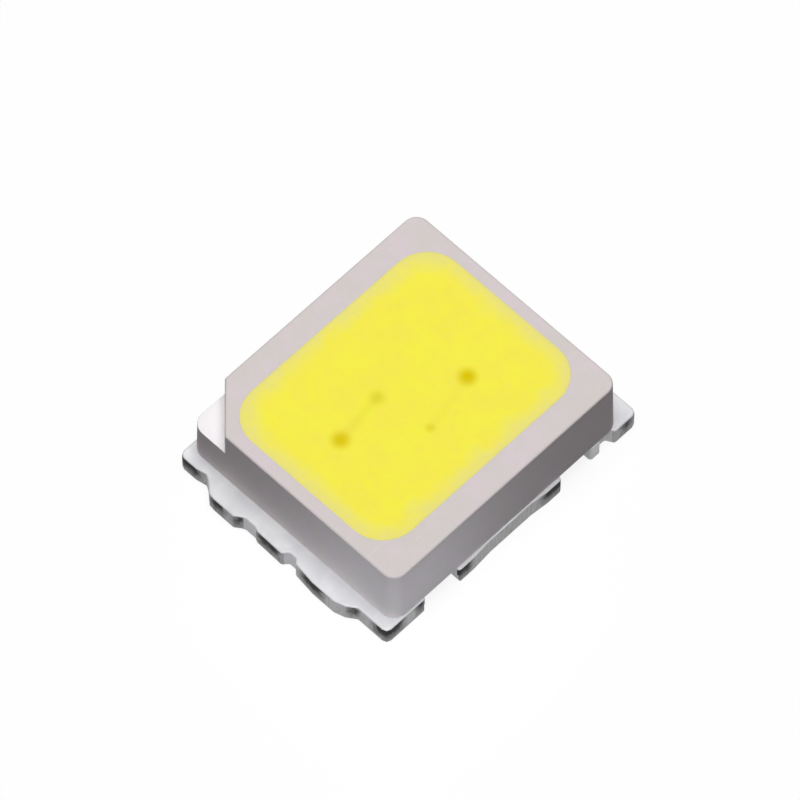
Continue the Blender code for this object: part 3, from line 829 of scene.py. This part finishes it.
# The colour of the light that the floor gives back, and the share of white in what is seen of it
FLOOR_RETURN, FLOOR_GLOW = (0.045, 0.045, 0.054, 1), 0.87
SKY_TINT, SKY_STRENGTH = (0.93, 0.92, 1, 1), 0.067
WHITE = (1, 1, 1, 1)


def stage_material(tree, dim, shown, output):
    """Shows one shader to the camera, reflections and glass, and a dim one to all other light."""
    path = add(tree, "ShaderNodeLightPath").outputs
    direct = add(tree, "ShaderNodeMath", {0: path["Is Camera Ray"], 1: path["Is Glossy Ray"]},
                 operation="MAXIMUM")
    direct = add(tree, "ShaderNodeMath", {0: direct, 1: path["Is Transmission Ray"]},
                 operation="MAXIMUM")
    both = add(tree, "ShaderNodeMixShader", {0: direct, 1: dim, 2: shown})
    add(tree, output, {"Surface": both})


def white_floor():
    half = FLOOR_ACROSS / 2
    outline = [(x * half * MM, y * half * MM, -FLOOR_BELOW * MM)
               for x, y in ((-1, -1), (1, -1), (1, 1), (-1, 1))]
    floor = new_piece("white_floor")
    floor.data.from_pydata(outline, [], [(0, 1, 2, 3)])
    finish = bpy.data.materials.new("pale_floor")
    finish.use_nodes = True
    tree = finish.node_tree
    tree.nodes.clear()
    dim = add(tree, "ShaderNodeBsdfDiffuse", {"Color": FLOOR_RETURN})
    lit = add(tree, "ShaderNodeBsdfDiffuse", {"Color": WHITE})
    glow = add(tree, "ShaderNodeEmission", {"Color": WHITE})
    shown = add(tree, "ShaderNodeMixShader", {0: FLOOR_GLOW, 1: lit, 2: glow})
    stage_material(tree, dim, shown, "ShaderNodeOutputMaterial")
    floor.data.materials.append(finish)
    return floor


def soft_sky():
    world = bpy.data.worlds.new("soft_sky")
    bpy.context.scene.world = world
    world.use_nodes = True
    tree = world.node_tree
    tree.nodes.clear()
    fill = add(tree, "ShaderNodeBackground", {"Color": SKY_TINT, "Strength": SKY_STRENGTH})
    white = add(tree, "ShaderNodeBackground", {"Color": WHITE})
    stage_material(tree, fill, white, "ShaderNodeOutputWorld")
    return world


print("stage:", white_floor().name, "and", soft_sky().name)

# %% [markdown]
# ### Lamps
#
# The key is a sun with a wide angle: it lights every place alike, and its shadows are soft. The
# two corner lamps are discs smaller than the part, so that their light falls off along it. They
# don't show in reflections, because two round glints on the leads would give them away.

# %% Lamps
KEY_STRENGTH, KEY_SPREAD, KEY_HEIGHT = 2.72, math.radians(38), math.radians(86)
KEY_AWAY = 100
# Each corner lamp: its distance from the side that it faces, and its power
LAMP_AWAY, LAMP_POWER = (1.45, 1.5), (7.6e-6, 8.2e-6)
FROM_CORNER, LAMP_HEIGHT, LAMP_ACROSS = 0.16, 0.55, 0.8
LAMP_TINT = (0.84, 0.93, 1.0)


def lamp(name, kind, place, aim, power, **settings):
    """A lamp at a place in mm, turned to aim at another."""
    light = bpy.data.lights.new(name, kind)
    light.energy = power
    for key, value in settings.items():
        setattr(light, key, value)
    stand = bpy.data.objects.new(name, light)
    bpy.context.scene.collection.objects.link(stand)
    stand.location = place * MM
    stand.rotation_euler = (aim - place).to_track_quat("-Z", "Y").to_euler()
    stand.visible_camera = stand.visible_transmission = False
    return stand


level = math.cos(KEY_HEIGHT)
overhead = Vector((math.sin(AZIMUTH) * level, -math.cos(AZIMUTH) * level, math.sin(KEY_HEIGHT)))
lamp("broad_key", "SUN", overhead * KEY_AWAY, Vector((0, 0, 0)), KEY_STRENGTH, angle=KEY_SPREAD)
corner = Vector((HOUSING_LOW.x, HOUSING_LOW.y, LAMP_HEIGHT))
for name, out, along, away, power in (
    ("end_fill", Vector((-1, 0, 0)), Vector((0, 1, 0)), LAMP_AWAY[0], LAMP_POWER[0]),
    ("side_fill", Vector((0, -1, 0)), Vector((1, 0, 0)), LAMP_AWAY[1], LAMP_POWER[1]),
):
    aim = corner + along * FROM_CORNER
    fill = lamp(name, "AREA", aim + out * away, aim, power, shape="DISK",
                size=LAMP_ACROSS * MM, color=LAMP_TINT)
    fill.visible_glossy = False
    print(name, "stands", away, "mm from the housing")

# %% [markdown]
# ## The view
#
# The picture is shown with the Standard view, so that a colour comes out as it was written.

# %% Settings and finish
bpy.context.scene.view_settings.view_transform = "Standard"
